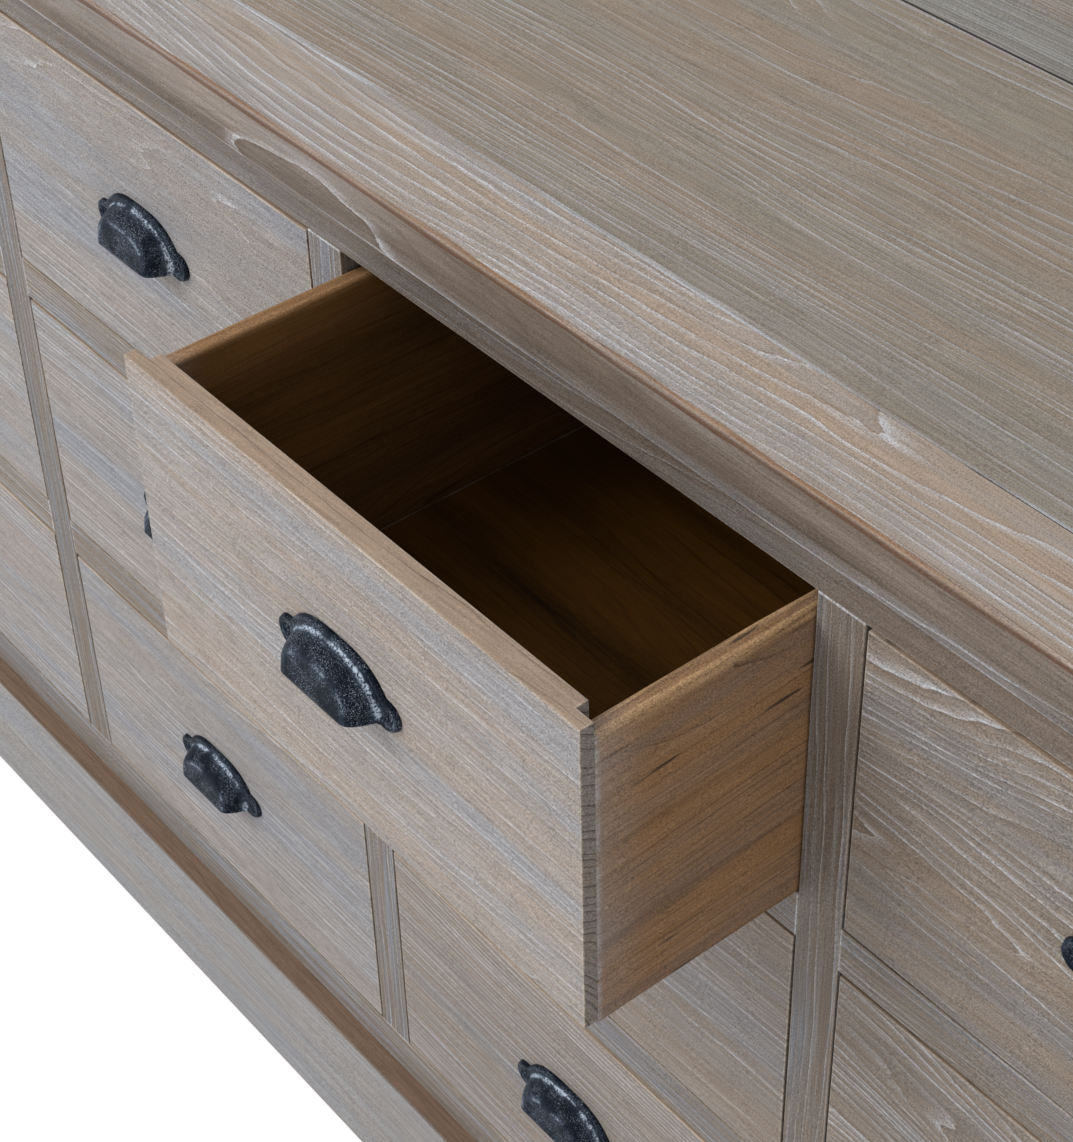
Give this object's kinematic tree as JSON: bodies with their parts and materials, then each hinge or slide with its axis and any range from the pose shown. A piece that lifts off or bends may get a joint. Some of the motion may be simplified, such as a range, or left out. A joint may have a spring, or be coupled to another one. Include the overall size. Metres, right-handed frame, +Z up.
{
  "type": "chest of drawers",
  "caption": "Low plinth-based merchant's chest in limed pine: a grid of inset drawers with cast cup pulls, one drawer standing open.",
  "frame": {"origin": "on the floor, under the middle of the plinth", "axes": "+X along the front from left to right as seen from the front, +Y from the front to the back, +Z up"},
  "size_m": [1.5026, 0.548, 0.8],
  "materials": {
    "top_wood": "limed and brushed pine, matt wax",
    "frame_wood": "limed pine, grey-brown, matt",
    "carcass_wood": "limed pine, matt",
    "plinth_wood": "limed pine, grey-washed, matt",
    "front_wood": "limed pine, pale grey, worn edges",
    "drawer_wood": "plain waxed pine",
    "inner_wood": "unfinished sawn pine",
    "pull_iron": "blackened cast iron, worn"
  },
  "bodies": {
    "carcass": {"top_front_board": "top_wood", "top_middle_board": "top_wood", "top_rear_board": "top_wood", "top_rail": "frame_wood", "bottom_rail": "frame_wood", "end_stiles": "frame_wood", "middle_stiles": "frame_wood", "drawer_rails": "frame_wood", "left_side_boards": "carcass_wood", "right_side_boards": "carcass_wood", "partitions": "inner_wood", "back_boards": "inner_wood", "bottom_boards": "inner_wood", "top_row_runners": "inner_wood", "middle_row_runners": "inner_wood", "bottom_row_runners": "inner_wood", "kickers": "inner_wood", "drawer_guides": "inner_wood", "drawer_stops": "inner_wood", "plinth_front": "plinth_wood", "plinth_sides": "plinth_wood", "plinth_back": "plinth_wood", "plinth_stretchers": "inner_wood", "plinth_glue_blocks": "inner_wood"},
    "drawer_r1c1": {"drawer_front_r1c1": "front_wood", "drawer_box_r1c1": "drawer_wood", "cup_pull_r1c1": "pull_iron"},
    "drawer_r1c2": {"drawer_front_r1c2": "front_wood", "drawer_box_r1c2": "drawer_wood", "cup_pull_r1c2": "pull_iron"},
    "drawer_r1c3": {"drawer_front_r1c3": "front_wood", "drawer_box_r1c3": "drawer_wood", "cup_pull_r1c3": "pull_iron"},
    "drawer_r1c4": {"drawer_front_r1c4": "front_wood", "drawer_box_r1c4": "drawer_wood", "cup_pull_r1c4": "pull_iron"},
    "drawer_r2c1": {"drawer_front_r2c1": "front_wood", "drawer_box_r2c1": "drawer_wood", "cup_pull_r2c1": "pull_iron"},
    "drawer_r2c2": {"drawer_front_r2c2": "front_wood", "drawer_box_r2c2": "drawer_wood", "cup_pull_r2c2": "pull_iron"},
    "drawer_r2c3": {"drawer_front_r2c3": "front_wood", "drawer_box_r2c3": "drawer_wood", "cup_pull_r2c3": "pull_iron"},
    "drawer_r2c4": {"drawer_front_r2c4": "front_wood", "drawer_box_r2c4": "drawer_wood", "cup_pull_r2c4": "pull_iron"},
    "drawer_r3c1": {"drawer_front_r3c1": "front_wood", "drawer_box_r3c1": "drawer_wood", "cup_pull_r3c1": "pull_iron"},
    "drawer_r3c2": {"drawer_front_r3c2": "front_wood", "drawer_box_r3c2": "drawer_wood", "cup_pull_r3c2": "pull_iron"},
    "drawer_r3c3": {"drawer_front_r3c3": "front_wood", "drawer_box_r3c3": "drawer_wood", "cup_pull_r3c3": "pull_iron"},
    "drawer_r3c4": {"drawer_front_r3c4": "front_wood", "drawer_box_r3c4": "drawer_wood", "cup_pull_r3c4": "pull_iron"}
  },
  "joints": [
    {"name": "drawer_r1c1_slide", "type": "slide", "parent": "carcass", "child": "drawer_r1c1", "axis": [0, -1, 0], "range_m": [0, 0.27]},
    {"name": "drawer_r1c2_slide", "type": "slide", "parent": "carcass", "child": "drawer_r1c2", "axis": [0, -1, 0], "range_m": [0, 0.27]},
    {"name": "drawer_r1c3_slide", "type": "slide", "parent": "carcass", "child": "drawer_r1c3", "axis": [0, -1, 0], "range_m": [-0.125, 0.145]},
    {"name": "drawer_r1c4_slide", "type": "slide", "parent": "carcass", "child": "drawer_r1c4", "axis": [0, -1, 0], "range_m": [0, 0.27]},
    {"name": "drawer_r2c1_slide", "type": "slide", "parent": "carcass", "child": "drawer_r2c1", "axis": [0, -1, 0], "range_m": [0, 0.27]},
    {"name": "drawer_r2c2_slide", "type": "slide", "parent": "carcass", "child": "drawer_r2c2", "axis": [0, -1, 0], "range_m": [0, 0.27]},
    {"name": "drawer_r2c3_slide", "type": "slide", "parent": "carcass", "child": "drawer_r2c3", "axis": [0, -1, 0], "range_m": [0, 0.27]},
    {"name": "drawer_r2c4_slide", "type": "slide", "parent": "carcass", "child": "drawer_r2c4", "axis": [0, -1, 0], "range_m": [0, 0.27]},
    {"name": "drawer_r3c1_slide", "type": "slide", "parent": "carcass", "child": "drawer_r3c1", "axis": [0, -1, 0], "range_m": [0, 0.27]},
    {"name": "drawer_r3c2_slide", "type": "slide", "parent": "carcass", "child": "drawer_r3c2", "axis": [0, -1, 0], "range_m": [0, 0.27]},
    {"name": "drawer_r3c3_slide", "type": "slide", "parent": "carcass", "child": "drawer_r3c3", "axis": [0, -1, 0], "range_m": [0, 0.27]},
    {"name": "drawer_r3c4_slide", "type": "slide", "parent": "carcass", "child": "drawer_r3c4", "axis": [0, -1, 0], "range_m": [0, 0.27]}
  ]
}
